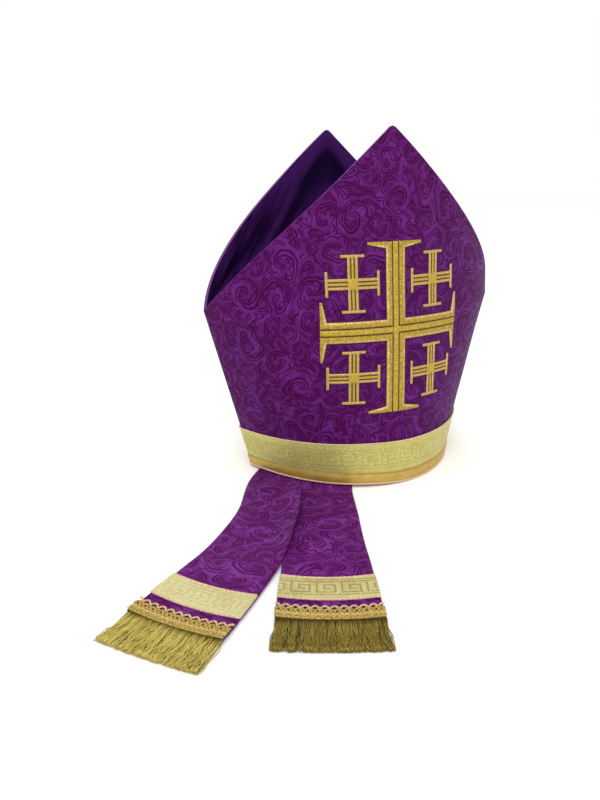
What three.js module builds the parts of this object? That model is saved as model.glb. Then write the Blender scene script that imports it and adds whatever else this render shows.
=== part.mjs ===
// A bishop's mitre: two stiff brocade panels that stand as horns and meet in a crease at each side, a
// satin web that lines the horns and closes the valley between them, a braid and a rolled edge round the
// rim, embroidered crosses on the front, and two lappets. The mitre stands on its rim. The lappets start
// inside the rear rim, run forward under it and lie flat in front, their fringes out to the left.
//
// Millimetres and degrees. Front is -Y, up is +Z, and the origin is the middle of the rim at table level.
import * as THREE from "three";

// ---- driving dimensions ----------------------------------------------------------------------------

const GAP = 0.3; // left between pieces that touch
const WALL = 2.5; // a panel: brocade, stiffener and lining

// A level section of a panel is the arc of an ellipse: halfWidth to the side crease, halfDepth from the
// crease line out to the middle, and halfAngle the ellipse angle at which the arc meets the crease.
const RIM = { height: 0, halfWidth: 106.0, halfDepth: 88.8, halfAngle: 65.2 };
const CORNER = { height: 155.9, halfWidth: 148.5, halfDepth: 79.2, halfAngle: 76.0 };
const PEAK_HEIGHT = 308.0;
const PEAK_LEAN = { front: 18.0, rear: 14.0 }; // how far a peak leans in towards the middle
const PEAK_BLUNTNESS = 0.015; // what is left of a panel's width at its very tip

// The rim stands on the table, and is propped up where the two lappets pass under it.
const PROP = { lift: 2.4, from: -135, rise: -95, fall: -23, to: 17 };

const BINDING = { height: 10.7, thickness: 1.4, floor: 1.2, innerHeight: 6.0 };
const RIM_GALLOON = { bottom: 11.0, top: 40.0, thickness: 1.0 };

const WEB = {
  thickness: 1.2,
  clearance: 1.2, // from the panels' inner faces
  cornerHeight: 152.0, // of the valley at its two ends
  middleHeight: 139.0,
  reach: 0.972,
  belowEdge: 1.5,
};

const EMBROIDERY = { lift: 0.5, thickness: 1.1, step: 8.0 };
const CROSS = {
  height: 142.7, // of its centre, up the front panel
  armAcross: 69.0,
  armUp: 74.3,
  stripHalf: 2.6,
  groove: 0.8,
  borderWidth: 5.7,
  serifHalf: 26.0,
  serifTip: 2.2,
};
const SMALL_CROSS = { across: 39.5, up: 40.5, arm: 24.0, armHalf: 4.5, serifHalf: 10.5, serifThickness: 2.3 };

const LAPPET = { thickness: 2.0, endWidth: 70.0, taper: 0.118, leastWidth: 40.0, tabHeight: 16.0, turn: 6.0 };
const LAPPET_ENDS = { galloonTop: -37.0, galloonBottom: -9.0, headerLength: 14.5, fringeLength: 32.0 };
const LAPPET_TRIM = { galloon: 0.8, header: 3.0, headerWidth: 72.0, fringeRoot: 5.0, fringeTip: 3.0, fringeWidth: 75.0 };

// The middle line of each lappet on the table, from the rear rim to the top of its fringe heading.
const LEFT_ROUTE = [
  { x: -26.0, y: 73.5 },
  { x: -25.0, y: 64.0 },
  { x: -30.0, y: 46.0 },
  { x: -45.0, y: 23.0 },
  { x: -73.0, y: -9.0 },
  { x: -102.0, y: -46.0 },
  { x: -124.0, y: -92.0 },
  { x: -139.0, y: -117.0 },
  { x: -170.0, y: -156.0 },
  { x: -203.0, y: -187.5 },
  { x: -229.0, y: -210.5 },
];
const RIGHT_ROUTE = [
  { x: 26.0, y: 73.5 },
  { x: 25.0, y: 64.0 },
  { x: 20.0, y: 46.0 },
  { x: 7.0, y: 22.0 },
  { x: -26.0, y: -20.5 },
  { x: -64.0, y: -74.0 },
  { x: -88.0, y: -125.0 },
  { x: -109.0, y: -170.0 },
  { x: -126.5, y: -210.5 },
  { x: -139.5, y: -240.5 },
];
// The left lappet's inner edge rolls up to pass over the right lappet, along this stretch of its route.
const CURL = { height: 9.0, from: 140.0, full: 170.0, ease: 232.0, to: 290.0, start: 0.05 };

const PANEL_COLUMNS = 20;
const LAPPET_COLUMNS = 6;
const LAPPET_STEP = 14.0;

// ---- colours ---------------------------------------------------------------------------------------

const cloth = (color, roughness) => new THREE.MeshStandardMaterial({ color, roughness, metalness: 0 });
const thread = (color, roughness) => new THREE.MeshStandardMaterial({ color, roughness, metalness: 0.35 });
const PURPLE_BROCADE = cloth(0x5c1d6e, 0.6);
const DARK_SATIN = cloth(0x2c1548, 0.45);
const PALE_GOLD_BRAID = thread(0xc3b56a, 0.5);
const ORANGE_GOLD_EDGE = thread(0xc9a03a, 0.5);
const GOLD_EMBROIDERY = thread(0xd0a850, 0.45);
const OLD_GOLD_FRINGE = thread(0xa58c32, 0.6);

// ---- closed solids ---------------------------------------------------------------------------------

function solid(vertices, triangles) {
  const turned = new THREE.Vector3();
  let volume = 0;
  for (const [a, b, c] of triangles) {
    volume += vertices[a].dot(turned.crossVectors(vertices[b], vertices[c]));
  }
  const outward = volume > 0 ? triangles : triangles.map(([a, b, c]) => [a, c, b]);
  const geometry = new THREE.BufferGeometry();
  const positions = vertices.flatMap((vertex) => vertex.toArray());
  geometry.setAttribute("position", new THREE.Float32BufferAttribute(positions, 3));
  geometry.setIndex(outward.flat());
  geometry.computeVertexNormals();
  return geometry;
}

function addQuad(triangles, a, b, c, d) {
  triangles.push([a, b, c], [a, c, d]);
}

// A sheet with thickness: face and back are grids of points with the same rows and columns.
function sheetSolid(face, back) {
  const lastRow = face.length - 1;
  const lastColumn = face[0].length - 1;
  const stride = lastColumn + 1;
  const front = (r, c) => r * stride + c;
  const behind = (r, c) => (lastRow + 1) * stride + front(r, c);
  const triangles = [];
  for (let r = 0; r < lastRow; r += 1) {
    for (let c = 0; c < lastColumn; c += 1) {
      addQuad(triangles, front(r, c), front(r, c + 1), front(r + 1, c + 1), front(r + 1, c));
      addQuad(triangles, behind(r, c), behind(r + 1, c), behind(r + 1, c + 1), behind(r, c + 1));
    }
    addQuad(triangles, front(r, 0), front(r + 1, 0), behind(r + 1, 0), behind(r, 0));
    addQuad(
      triangles,
      front(r, lastColumn),
      behind(r, lastColumn),
      behind(r + 1, lastColumn),
      front(r + 1, lastColumn),
    );
  }
  for (let c = 0; c < lastColumn; c += 1) {
    addQuad(triangles, front(0, c), behind(0, c), behind(0, c + 1), front(0, c + 1));
    addQuad(triangles, front(lastRow, c), front(lastRow, c + 1), behind(lastRow, c + 1), behind(lastRow, c));
  }
  return solid([...face.flat(), ...back.flat()], triangles);
}

// A closed section carried round a closed loop: sections is a ring of point lists of equal length.
function ringSolid(sections) {
  const around = sections.length;
  const corners = sections[0].length;
  const triangles = [];
  for (let i = 0; i < around; i += 1) {
    const next = (i + 1) % around;
    for (let k = 0; k < corners; k += 1) {
      const up = (k + 1) % corners;
      addQuad(triangles, i * corners + k, i * corners + up, next * corners + up, next * corners + k);
    }
  }
  return solid(sections.flat(), triangles);
}

// Filled cells of a grid of lines, with thickness: place(u, v) gives the [face, back] points of a corner.
function cellSolid(uLines, vLines, isFilled, place) {
  const filled = (i, j) => {
    const inside = i >= 0 && j >= 0 && i < uLines.length - 1 && j < vLines.length - 1;
    return inside && isFilled((uLines[i] + uLines[i + 1]) / 2, (vLines[j] + vLines[j + 1]) / 2);
  };
  const vertices = [];
  const known = new Map();
  const corner = (i, j) => {
    const key = `${i},${j}`;
    if (!known.has(key)) {
      known.set(key, vertices.length);
      vertices.push(...place(uLines[i], vLines[j]));
    }
    return known.get(key);
  };
  const triangles = [];
  for (let i = 0; i < uLines.length - 1; i += 1) {
    for (let j = 0; j < vLines.length - 1; j += 1) {
      if (!filled(i, j)) continue;
      const ring = [corner(i, j), corner(i + 1, j), corner(i + 1, j + 1), corner(i, j + 1)];
      const neighbours = [filled(i, j - 1), filled(i + 1, j), filled(i, j + 1), filled(i - 1, j)];
      addQuad(triangles, ...ring);
      addQuad(triangles, ring[3] + 1, ring[2] + 1, ring[1] + 1, ring[0] + 1);
      neighbours.forEach((joined, side) => {
        const from = ring[side];
        const to = ring[(side + 1) % 4];
        if (!joined) addQuad(triangles, to, from, from + 1, to + 1);
      });
    }
  }
  return solid(vertices, triangles);
}

// ---- the panels' surface ---------------------------------------------------------------------------

const { lerp, degToRad, clamp, smoothstep } = THREE.MathUtils;
const CORNER_TO_PEAK = PEAK_HEIGHT - CORNER.height;

function evenly(from, to, intervals) {
  return Array.from({ length: intervals + 1 }, (_, i) => lerp(from, to, i / intervals));
}

// The point of the front panel's outer surface at side share t (-1 left crease, 1 right crease) and a
// height, moved inwards by inset. The rear panel is the same surface turned half round.
function panelPoint(t, height, inset = 0, lean = PEAK_LEAN.front) {
  const rise = clamp(height / CORNER.height, 0, 1);
  const halfWidth = lerp(RIM.halfWidth, CORNER.halfWidth, rise) - inset * 1.06;
  const halfDepth = lerp(RIM.halfDepth, CORNER.halfDepth, rise) - inset;
  const halfAngle = degToRad(lerp(RIM.halfAngle, CORNER.halfAngle, rise));
  const above = Math.max(0, (height - CORNER.height) / CORNER_TO_PEAK);
  const x = (halfWidth * Math.sin(halfAngle * t)) / Math.sin(halfAngle);
  const bulge = (Math.cos(halfAngle * t) - Math.cos(halfAngle)) / (1 - Math.cos(halfAngle));
  return new THREE.Vector3(x, lean * above - halfDepth * bulge - GAP / 2, height);
}

// Distance along the surface at one height, from the front's middle line to side share t.
function arcLength(t, height) {
  const steps = 24;
  let length = 0;
  let last = panelPoint(0, height);
  for (let i = 1; i <= steps; i += 1) {
    const next = panelPoint((t * i) / steps, height);
    length += next.distanceTo(last);
    last = next;
  }
  return length;
}

// The side share at a signed distance from the front's middle line.
function shareAt(distance, height) {
  let low = 0;
  let high = 1;
  for (let i = 0; i < 30; i += 1) {
    const middle = (low + high) / 2;
    if (arcLength(middle, height) < Math.abs(distance)) low = middle;
    else high = middle;
  }
  return (Math.sign(distance) * (low + high)) / 2;
}

// How far a panel reaches to each side at a height: all the way below the corner, then to a point.
function reach(height) {
  if (height <= CORNER.height) return 1;
  const left = Math.max(1 - (height - CORNER.height) / CORNER_TO_PEAK, PEAK_BLUNTNESS);
  return shareAt(left * arcLength(1, CORNER.height), CORNER.height);
}

// The rim is propped up a little over the lappets, less and less towards the corners' height.
function propped(point) {
  const bearing = (Math.atan2(point.x, -point.y) * 180) / Math.PI;
  const around = smoothstep(bearing, PROP.from, PROP.rise) * (1 - smoothstep(bearing, PROP.fall, PROP.to));
  const fade = (1 - clamp(point.z / CORNER.height, 0, 1)) ** 2;
  return new THREE.Vector3(point.x, point.y, point.z + PROP.lift * around * fade);
}

function halfTurn(point) {
  return new THREE.Vector3(-point.x, -point.y, point.z);
}

function panel(isRear) {
  const bottom = BINDING.floor + GAP;
  const below = [bottom, RIM_GALLOON.bottom, 25, RIM_GALLOON.top, ...evenly(58, CORNER.height, 6)];
  const above = evenly(CORNER.height, PEAK_HEIGHT, 12).slice(1);
  const lean = isRear ? PEAK_LEAN.rear : PEAK_LEAN.front;
  const surface = (inset) =>
    [...below, ...above].map((height) =>
      evenly(-1, 1, PANEL_COLUMNS).map((share) => {
        const point = panelPoint(share * reach(height), height, inset, lean);
        return propped(isRear ? halfTurn(point) : point);
      }),
    );
  return sheetSolid(surface(0), surface(WALL));
}

// ---- the web between the horns ---------------------------------------------------------------------

// The web lies inside both horns and dips to a valley on the crease line.
function crownWeb() {
  const endShare = WEB.reach;
  const edgeHeight = (x) => {
    let low = CORNER.height;
    let high = PEAK_HEIGHT;
    for (let i = 0; i < 30; i += 1) {
      const middle = (low + high) / 2;
      if (panelPoint(reach(middle), middle).x > Math.abs(x)) low = middle;
      else high = middle;
    }
    return low - WEB.belowEdge;
  };
  const wallDepth = (x, height, inset, lean) => {
    const halfAngle = degToRad(CORNER.halfAngle);
    const halfWidth = CORNER.halfWidth - inset * 1.06;
    const share = Math.asin(clamp((x / halfWidth) * Math.sin(halfAngle), -1, 1)) / halfAngle;
    return panelPoint(share, height, inset, lean).y;
  };
  const surface = (inset, drop) =>
    evenly(-1, 1, 14).map((across) => {
      const x = across * endShare * (CORNER.halfWidth - WALL - WEB.thickness);
      const valley = lerp(WEB.middleHeight, WEB.cornerHeight, across * across) - drop;
      const edge = edgeHeight(x);
      return evenly(-1, 1, 18).map((along) => {
        const up = Math.abs(along);
        const height = valley + (edge - valley) * up ** 1.7;
        const lean = along < 0 ? PEAK_LEAN.front : PEAK_LEAN.rear;
        const depth = wallDepth(x, Math.max(height, CORNER.height), inset, lean);
        const out = 1 - (1 - up) ** 2.2;
        return new THREE.Vector3(x, Math.sign(along) * -depth * out, height);
      });
    });
  const behind = WALL + WEB.clearance;
  return sheetSolid(surface(behind + WEB.thickness, 0), surface(behind, WEB.thickness));
}

// ---- the rim ---------------------------------------------------------------------------------------

// A ring round the rim: profile is a list of [inset, height] corners of its cross-section.
function rimRing(profile) {
  const shares = evenly(-1, 1, PANEL_COLUMNS).slice(0, -1);
  const section = (share) => profile.map(([inset, height]) => panelPoint(share, height, inset));
  const front = shares.map((share) => section(share).map(propped));
  const rear = shares.map((share) => section(share).map((point) => propped(halfTurn(point))));
  return ringSolid([...front, ...rear]);
}

function rimGalloon() {
  const inner = -GAP;
  const outer = -GAP - RIM_GALLOON.thickness;
  const { bottom, top } = RIM_GALLOON;
  return rimRing([
    [inner, bottom],
    [outer, bottom],
    [outer, top],
    [inner, top],
  ]);
}

function rimBinding() {
  const outerFace = -GAP - BINDING.thickness;
  const innerFace = WALL + GAP + BINDING.thickness;
  return rimRing([
    [outerFace, 0],
    [outerFace, BINDING.height - GAP],
    [-GAP, BINDING.height - GAP],
    [-GAP, BINDING.floor],
    [WALL + GAP, BINDING.floor],
    [WALL + GAP, BINDING.innerHeight],
    [innerFace, BINDING.innerHeight],
    [innerFace, 0],
  ]);
}

// ---- the embroidered crosses -----------------------------------------------------------------------

// The [face, back] points of embroidery at u across and v up from the centre of the large cross.
function stitched(u, v) {
  const height = CROSS.height + v;
  const share = shareAt(u, height);
  const middle = panelPoint(share, height);
  const nudge = 0.002;
  const across = panelPoint(share + nudge, height).sub(panelPoint(share - nudge, height));
  const upwards = panelPoint(share, height + 1).sub(panelPoint(share, height - 1));
  const outward = across.cross(upwards).normalize();
  const raise = (distance) => propped(middle.clone().addScaledVector(outward, distance));
  return [raise(EMBROIDERY.lift + EMBROIDERY.thickness), raise(EMBROIDERY.lift)];
}

function armLines(half, arm) {
  const steps = Math.ceil((arm - half) / EMBROIDERY.step);
  return [...evenly(-arm, -half, steps), ...evenly(half, arm, steps)];
}

function crossBars() {
  const half = CROSS.stripHalf;
  const onBar = (u, v) => Math.abs(u) < half || Math.abs(v) < half;
  return cellSolid(armLines(half, CROSS.armAcross), armLines(half, CROSS.armUp), onBar, stitched);
}

// One corner of the large cross: a border that runs in from a half serif, round the crossing and out to
// the next. Each row of the table is a pair of points across the border.
function crossCorner(signU, signV) {
  const near = CROSS.stripHalf + CROSS.groove;
  const far = near + CROSS.borderWidth;
  const { armAcross, armUp, borderWidth, serifHalf, serifTip } = CROSS;
  const stations = [
    { outer: [serifHalf, armUp], inner: [serifHalf, armUp - serifTip] },
    { outer: [near, armUp], inner: [far, armUp - borderWidth] },
    { outer: [near, near], inner: [far, far] },
    { outer: [armAcross, near], inner: [armAcross - borderWidth, far] },
    { outer: [armAcross, serifHalf], inner: [armAcross - serifTip, serifHalf] },
  ];
  const rows = [];
  const mix = (from, to, share) => [lerp(from[0], to[0], share), lerp(from[1], to[1], share)];
  for (let i = 0; i + 1 < stations.length; i += 1) {
    const from = stations[i];
    const to = stations[i + 1];
    const length = Math.hypot(to.outer[0] - from.outer[0], to.outer[1] - from.outer[1]);
    const shares = evenly(0, 1, Math.ceil(length / EMBROIDERY.step)).slice(i ? 1 : 0);
    rows.push(...shares.map((share) => [mix(from.outer, to.outer, share), mix(from.inner, to.inner, share)]));
  }
  const points = (side) => rows.map((row) => row.map(([u, v]) => stitched(signU * u, signV * v)[side]));
  return sheetSolid(points(0), points(1));
}

function smallCross(signU, signV) {
  const { across, up, arm, armHalf, serifHalf, serifThickness } = SMALL_CROSS;
  const serifInner = arm - serifThickness;
  const half = [armHalf, serifHalf, (serifHalf + serifInner) / 2, serifInner, arm];
  const lines = [...half.map((value) => -value).reverse(), ...half];
  const inArm = (along, aside) => Math.abs(aside) < armHalf && Math.abs(along) < arm;
  const inSerif = (along, aside) => Math.abs(along) > serifInner && Math.abs(aside) < serifHalf;
  const onCross = (u, v) => inArm(u, v) || inArm(v, u) || inSerif(u, v) || inSerif(v, u);
  return cellSolid(lines, lines, onCross, (u, v) => stitched(signU * across + u, signV * up + v));
}

// ---- the lappets -----------------------------------------------------------------------------------

// A lappet as a strip: stations along its middle line, from the tab inside the rear rim to its end.
// Distances along it are measured from the foot of the tab, and those of its trim from its fringe heading.
class Lappet {
  constructor(route, curl) {
    this.curl = curl;
    const points = route.map(({ x, y }) => new THREE.Vector3(x, y, 0));
    this.curve = new THREE.CatmullRomCurve3(points, false, "centripetal");
    this.curve.arcLengthDivisions = 400;
    this.length = this.curve.getLength();
  }

  widthAt(distance) {
    const toEnd = this.length - distance;
    return Math.max(LAPPET.endWidth - LAPPET.taper * Math.max(toEnd, 0), LAPPET.leastWidth);
  }

  // Position, travel direction in plan and slope of the strip at a distance along the route. Past the
  // route's end the strip runs straight on.
  stationAt(distance) {
    const share = clamp(distance / this.length, 0, 1);
    const heading = this.curve.getTangentAt(share);
    const point = this.curve.getPointAt(share);
    point.addScaledVector(heading, distance - share * this.length);
    return { point, heading, slope: 0, bow: 0 };
  }

  // The turned-up stretch against the rear wall: a quarter turn, then the upright tab.
  tabStations() {
    const { point, heading } = this.stationAt(0);
    const middle = LAPPET.thickness / 2;
    const turned = [30, 60, 90].map((degrees) => {
      const slope = degToRad(degrees);
      const foot = point.clone().addScaledVector(heading, LAPPET.turn * (1 - Math.sin(slope)));
      foot.z = middle + LAPPET.turn * (1 - Math.cos(slope));
      return { point: foot.setZ(foot.z - middle), heading, slope, bow: (2.6 * degrees) / 90 };
    });
    const top = point.clone().setZ(LAPPET.tabHeight - middle);
    return [{ point: top, heading, slope: Math.PI / 2, bow: 2.6 }, ...turned.reverse()];
  }

  // A point at side share u (-1 left edge, 1 right edge as seen from the front), a height over the
  // underside, and a half width.
  pointAt(station, u, height, halfWidth, rise = 0) {
    const { point, heading, slope, bow } = station;
    const aside = new THREE.Vector3(-heading.y, heading.x, 0);
    const upper = new THREE.Vector3(heading.x * Math.sin(slope), heading.y * Math.sin(slope), Math.cos(slope));
    const middle = LAPPET.thickness / 2;
    return point
      .clone()
      .setZ(point.z + middle)
      .addScaledVector(aside, u * halfWidth)
      .addScaledVector(upper, height - middle + bow * u * u)
      .add(new THREE.Vector3(0, 0, rise));
  }

  curlAt(distance, u) {
    if (!this.curl) return 0;
    const start = smoothstep(distance, CURL.from, CURL.full);
    const stop = 1 - smoothstep(distance, CURL.ease, CURL.to);
    const roll = clamp((u - CURL.start) / (1 - CURL.start), 0, 1) ** 2;
    return CURL.height * start * stop * roll;
  }

  cloth() {
    const end = this.length + LAPPET_ENDS.headerLength - 1;
    const distances = evenly(LAPPET.turn, end, Math.round(end / LAPPET_STEP));
    const surface = (height) => {
      const tab = this.tabStations().map((station) =>
        evenly(-1, 1, LAPPET_COLUMNS).map((u) => this.pointAt(station, u, height, LAPPET.leastWidth / 2)),
      );
      const flat = distances.map((distance) =>
        evenly(-1, 1, LAPPET_COLUMNS).map((u) =>
          this.pointAt(this.stationAt(distance), u, height, this.widthAt(distance) / 2, this.curlAt(distance, u)),
        ),
      );
      return [...tab, ...flat];
    };
    return sheetSolid(surface(LAPPET.thickness), surface(0));
  }

  // A flat trim between two distances from the route's end, with its own width and top at each end.
  trim({ from, to, widths, bottom, tops, columns = 3 }) {
    const shares = [0, 0.5, 1];
    const surface = (heightAt) =>
      shares.map((share) => {
        const station = this.stationAt(this.length + lerp(from, to, share));
        const half = lerp(widths[0], widths[1], share) / 2;
        return evenly(-1, 1, columns).map((u) => this.pointAt(station, u, heightAt(share), half));
      });
    return sheetSolid(
      surface((share) => lerp(tops[0], tops[1], share)),
      surface(() => bottom),
    );
  }

  galloon() {
    const bottom = LAPPET.thickness + GAP;
    const top = bottom + LAPPET_TRIM.galloon;
    const { galloonTop, galloonBottom } = LAPPET_ENDS;
    const widths = [galloonTop, galloonBottom].map((from) => this.widthAt(this.length + from));
    return this.trim({ from: galloonTop, to: galloonBottom, widths, bottom, tops: [top, top] });
  }

  fringeHeader() {
    const bottom = LAPPET.thickness + GAP;
    const top = bottom + LAPPET_TRIM.header;
    const widths = [LAPPET_TRIM.headerWidth, LAPPET_TRIM.headerWidth];
    return this.trim({ from: 0, to: LAPPET_ENDS.headerLength, widths, bottom, tops: [top, top] });
  }

  fringe() {
    const from = LAPPET_ENDS.headerLength + GAP;
    const to = from + LAPPET_ENDS.fringeLength;
    const widths = [LAPPET_TRIM.headerWidth, LAPPET_TRIM.fringeWidth];
    return this.trim({ from, to, widths, bottom: 0, tops: [LAPPET_TRIM.fringeRoot, LAPPET_TRIM.fringeTip] });
  }
}

// ---- assembly --------------------------------------------------------------------------------------

const mitre = new THREE.Group();

function add(name, geometry, material) {
  const mesh = new THREE.Mesh(geometry, material);
  mesh.name = name;
  mitre.add(mesh);
}

add("front_panel", panel(false), PURPLE_BROCADE);
add("rear_panel", panel(true), PURPLE_BROCADE);
add("crown_web", crownWeb(), DARK_SATIN);
add("rim_galloon", rimGalloon(), PALE_GOLD_BRAID);
add("rim_binding", rimBinding(), ORANGE_GOLD_EDGE);

add("cross_bars", crossBars(), GOLD_EMBROIDERY);
const QUARTERS = [
  { name: "upper_left", signU: -1, signV: 1 },
  { name: "upper_right", signU: 1, signV: 1 },
  { name: "lower_left", signU: -1, signV: -1 },
  { name: "lower_right", signU: 1, signV: -1 },
];
for (const { name, signU, signV } of QUARTERS) {
  add(`cross_corner_${name}`, crossCorner(signU, signV), GOLD_EMBROIDERY);
  add(`small_cross_${name}`, smallCross(signU, signV), GOLD_EMBROIDERY);
}

for (const [side, lappet] of [
  ["left", new Lappet(LEFT_ROUTE, true)],
  ["right", new Lappet(RIGHT_ROUTE, false)],
]) {
  add(`${side}_lappet`, lappet.cloth(), PURPLE_BROCADE);
  add(`${side}_lappet_galloon`, lappet.galloon(), PALE_GOLD_BRAID);
  add(`${side}_fringe_header`, lappet.fringeHeader(), OLD_GOLD_FRINGE);
  add(`${side}_fringe`, lappet.fringe(), OLD_GOLD_FRINGE);
}

export default mitre;
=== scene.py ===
"""A bishop's mitre in purple brocade, standing on its rim, with its two fringed lappets laid out in front.

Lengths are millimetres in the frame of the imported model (front is -Y, up is +Z, origin in the middle of the
rim at table level) and become metres when a mesh is made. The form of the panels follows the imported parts.
"""

import math

import bpy
import numpy as np
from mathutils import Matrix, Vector


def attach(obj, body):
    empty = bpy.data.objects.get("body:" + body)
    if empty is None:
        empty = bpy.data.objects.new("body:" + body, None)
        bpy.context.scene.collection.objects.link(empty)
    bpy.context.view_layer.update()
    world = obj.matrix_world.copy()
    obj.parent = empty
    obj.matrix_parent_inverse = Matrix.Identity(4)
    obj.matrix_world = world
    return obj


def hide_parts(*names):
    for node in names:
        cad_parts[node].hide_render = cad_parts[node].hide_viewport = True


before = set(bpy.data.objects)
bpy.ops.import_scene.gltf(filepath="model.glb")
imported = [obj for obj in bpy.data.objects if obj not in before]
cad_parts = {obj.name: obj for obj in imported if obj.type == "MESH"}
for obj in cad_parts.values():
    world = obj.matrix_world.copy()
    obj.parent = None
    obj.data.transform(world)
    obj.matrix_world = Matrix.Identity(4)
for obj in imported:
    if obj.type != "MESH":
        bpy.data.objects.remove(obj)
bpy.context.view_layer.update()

MM = 0.001
TAU = 2 * math.pi
FRINGE_SEED = 6000

# ---- the mitre's form -------------------------------------------------------------------------------

RIM_WIDTH, RIM_DEPTH, RIM_ANGLE = 106.0, 88.8, 65.2
CORNER_HEIGHT, CORNER_WIDTH, CORNER_DEPTH, CORNER_ANGLE = 155.9, 148.5, 79.2, 76.0
PEAK_HEIGHT = 308.0
FRONT_LEAN, REAR_LEAN = 18.0, 14.0
PEAK_ROUNDING = 4.0
WALL = 2.5
SIDE_INSET = 1.06  # how far the creases move in for each millimetre of inset
LINING_GAP = 2.2
VALLEY_LOW, VALLEY_HIGH = 139.0, 152.0
RIM_SEAM = 1.9985
FOOT = 1.6
PROP_LIFT = 2.4

EDGING_TOP = 10.7
BRAID_BOTTOM, BRAID_TOP = 11.0, 40.0

CROSS_HEIGHT = 142.7
ARM_ACROSS, ARM_UP = 69.0, 74.3
STRIP_HALF, GROOVE, BORDER = 2.6, 0.8, 5.7
SERIF_HALF, SERIF_TIP = 26.0, 2.2
SMALL_ACROSS, SMALL_UP, SMALL_ARM = 39.5, 40.5, 24.0
QUARTERS = [
    (f"{vertical}_{side}", across, up)
    for vertical, up in (("upper", 1), ("lower", -1))
    for side, across in (("left", -1), ("right", 1))
]
OUTLINE = 1.3  # how far the painted shadow shows past the gold
THREAD = 0.62  # pitch of the satin stitches
FINE, COARSE = THREAD / 3, 1.5  # steps along stitches, and along the grounds and painted shadows under them


def lerp(a, b, t):
    return a + (b - a) * t


def smooth(x, low, high):
    t = np.clip((np.asarray(x, float) - low) / (high - low), 0, 1)
    return t * t * (3 - 2 * t)


def unit(v):
    return v / np.maximum(np.linalg.norm(v, axis=-1, keepdims=True), 1e-12)


def matched(*values):
    """The values as float arrays of one shape."""
    return np.broadcast_arrays(*(np.asarray(x, float) for x in values))


def distances(path):
    """How far along a path each of its points is."""
    return np.concatenate([[0], np.cumsum(np.linalg.norm(np.diff(path, axis=0), axis=-1))])


def panel_point(share, height, inset=0.0, lean=FRONT_LEAN):
    """The front panel's outer face at a side share (-1 left crease, 1 right) and height, less an inset."""
    share, height, inset = matched(share, height, inset)
    rise = np.clip(height / CORNER_HEIGHT, 0, 1)
    width = lerp(RIM_WIDTH, CORNER_WIDTH, rise) - inset * SIDE_INSET
    depth = lerp(RIM_DEPTH, CORNER_DEPTH, rise) - inset
    angle = np.radians(lerp(RIM_ANGLE, CORNER_ANGLE, rise))
    above = np.clip((height - CORNER_HEIGHT) / (PEAK_HEIGHT - CORNER_HEIGHT), 0, None)
    bulge = (np.cos(angle * share) - np.cos(angle)) / (1 - np.cos(angle))
    x = width * np.sin(angle * share) / np.sin(angle)
    return np.stack([x, lean * above - depth * bulge - 0.15, height], -1)


def propped(points):
    """Lifts the rim a little where it stands on the lappets."""
    bearing = np.degrees(np.arctan2(points[..., 0], -points[..., 1]))
    around = smooth(bearing, -135, -95) * (1 - smooth(bearing, -23, 17))
    fade = (1 - np.clip(points[..., 2] / CORNER_HEIGHT, 0, 1)) ** 2
    lifted = points.copy()
    lifted[..., 2] += PROP_LIFT * around * fade
    return lifted


def half_turn(points):
    return points * np.array([-1.0, -1.0, 1.0])


# Distances along the panel, from its middle line: tables over height (rows) and side share (columns).
ROWS, COLUMNS = 64, 256
SHARE_LINES = np.linspace(0, 1, COLUMNS + 1)
_lines = panel_point(SHARE_LINES[None, :], np.linspace(0, CORNER_HEIGHT, ROWS + 1)[:, None])
_steps = np.linalg.norm(np.diff(_lines, axis=1), axis=-1)
ARC = np.concatenate([np.zeros((ROWS + 1, 1)), np.cumsum(_steps, axis=1)], axis=1)
SHARE = np.stack([np.interp(SHARE_LINES * row[-1], row, SHARE_LINES) for row in ARC])


def read_table(table, height, column):
    """Bilinear reading of a table at heights and column shares from 0 to 1."""
    row = np.clip(height / CORNER_HEIGHT, 0, 1) * ROWS
    i = np.minimum(row.astype(int), ROWS - 1)
    column = np.clip(column, 0, 1) * COLUMNS
    j = np.minimum(column.astype(int), COLUMNS - 1)
    near, far = (lerp(table[k, j], table[k, j + 1], column - j) for k in (i, i + 1))
    return lerp(near, far, row - i)


def arc_length(share, height):
    return np.sign(share) * read_table(ARC, height, np.abs(share))


def share_at(distance, height):
    half = read_table(ARC, height, np.ones_like(height))
    return np.sign(distance) * read_table(SHARE, height, np.abs(distance) / half)


def reach(height):
    """How far the panel reaches to each side, as a side share: to a rounded point at the peak."""
    below = np.clip(PEAK_HEIGHT - np.asarray(height, float), 0, None)
    slope = ARC[-1, -1] / (PEAK_HEIGHT - CORNER_HEIGHT)
    sine = slope / math.hypot(slope, 1)
    widening = slope * PEAK_ROUNDING * (1 / sine - 1)
    straight = below * slope + widening * smooth(below, 60, 1)
    round_end = np.sqrt(np.clip(below * (2 * PEAK_ROUNDING - below), 0.01, None))
    half = np.where(below < PEAK_ROUNDING * (1 - sine), round_end, straight)
    share = np.interp(half, ARC[-1], SHARE_LINES)
    return np.where(height <= CORNER_HEIGHT, 1.0, share)


def panel_normal(share, height, lean=FRONT_LEAN):
    across = panel_point(share + 0.002, height, 0, lean) - panel_point(share - 0.002, height, 0, lean)
    up = panel_point(share, height + 1, 0, lean) - panel_point(share, height - 1, 0, lean)
    return unit(np.cross(across, up))


def swell(u, v, share):
    """The panels' faint unevenness, outwards, fading at the creases and under the rim's braid."""
    waves = 0.45 * np.sin(u / 31 + 0.8) * np.cos(v / 43) + 0.3 * np.sin(v / 19 + u / 57 + 2.0)
    return waves * (1 - share**4) * smooth(v, 42, 80)


def on_front(u, v, height):
    """Points on the front panel at a distance across and up, raised off its face."""
    u, v, height = matched(u, v, height)
    share = share_at(u, v)
    raised = (height + swell(u, v, share))[..., None]
    return propped(panel_point(share, v) + panel_normal(share, v) * raised)


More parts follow.
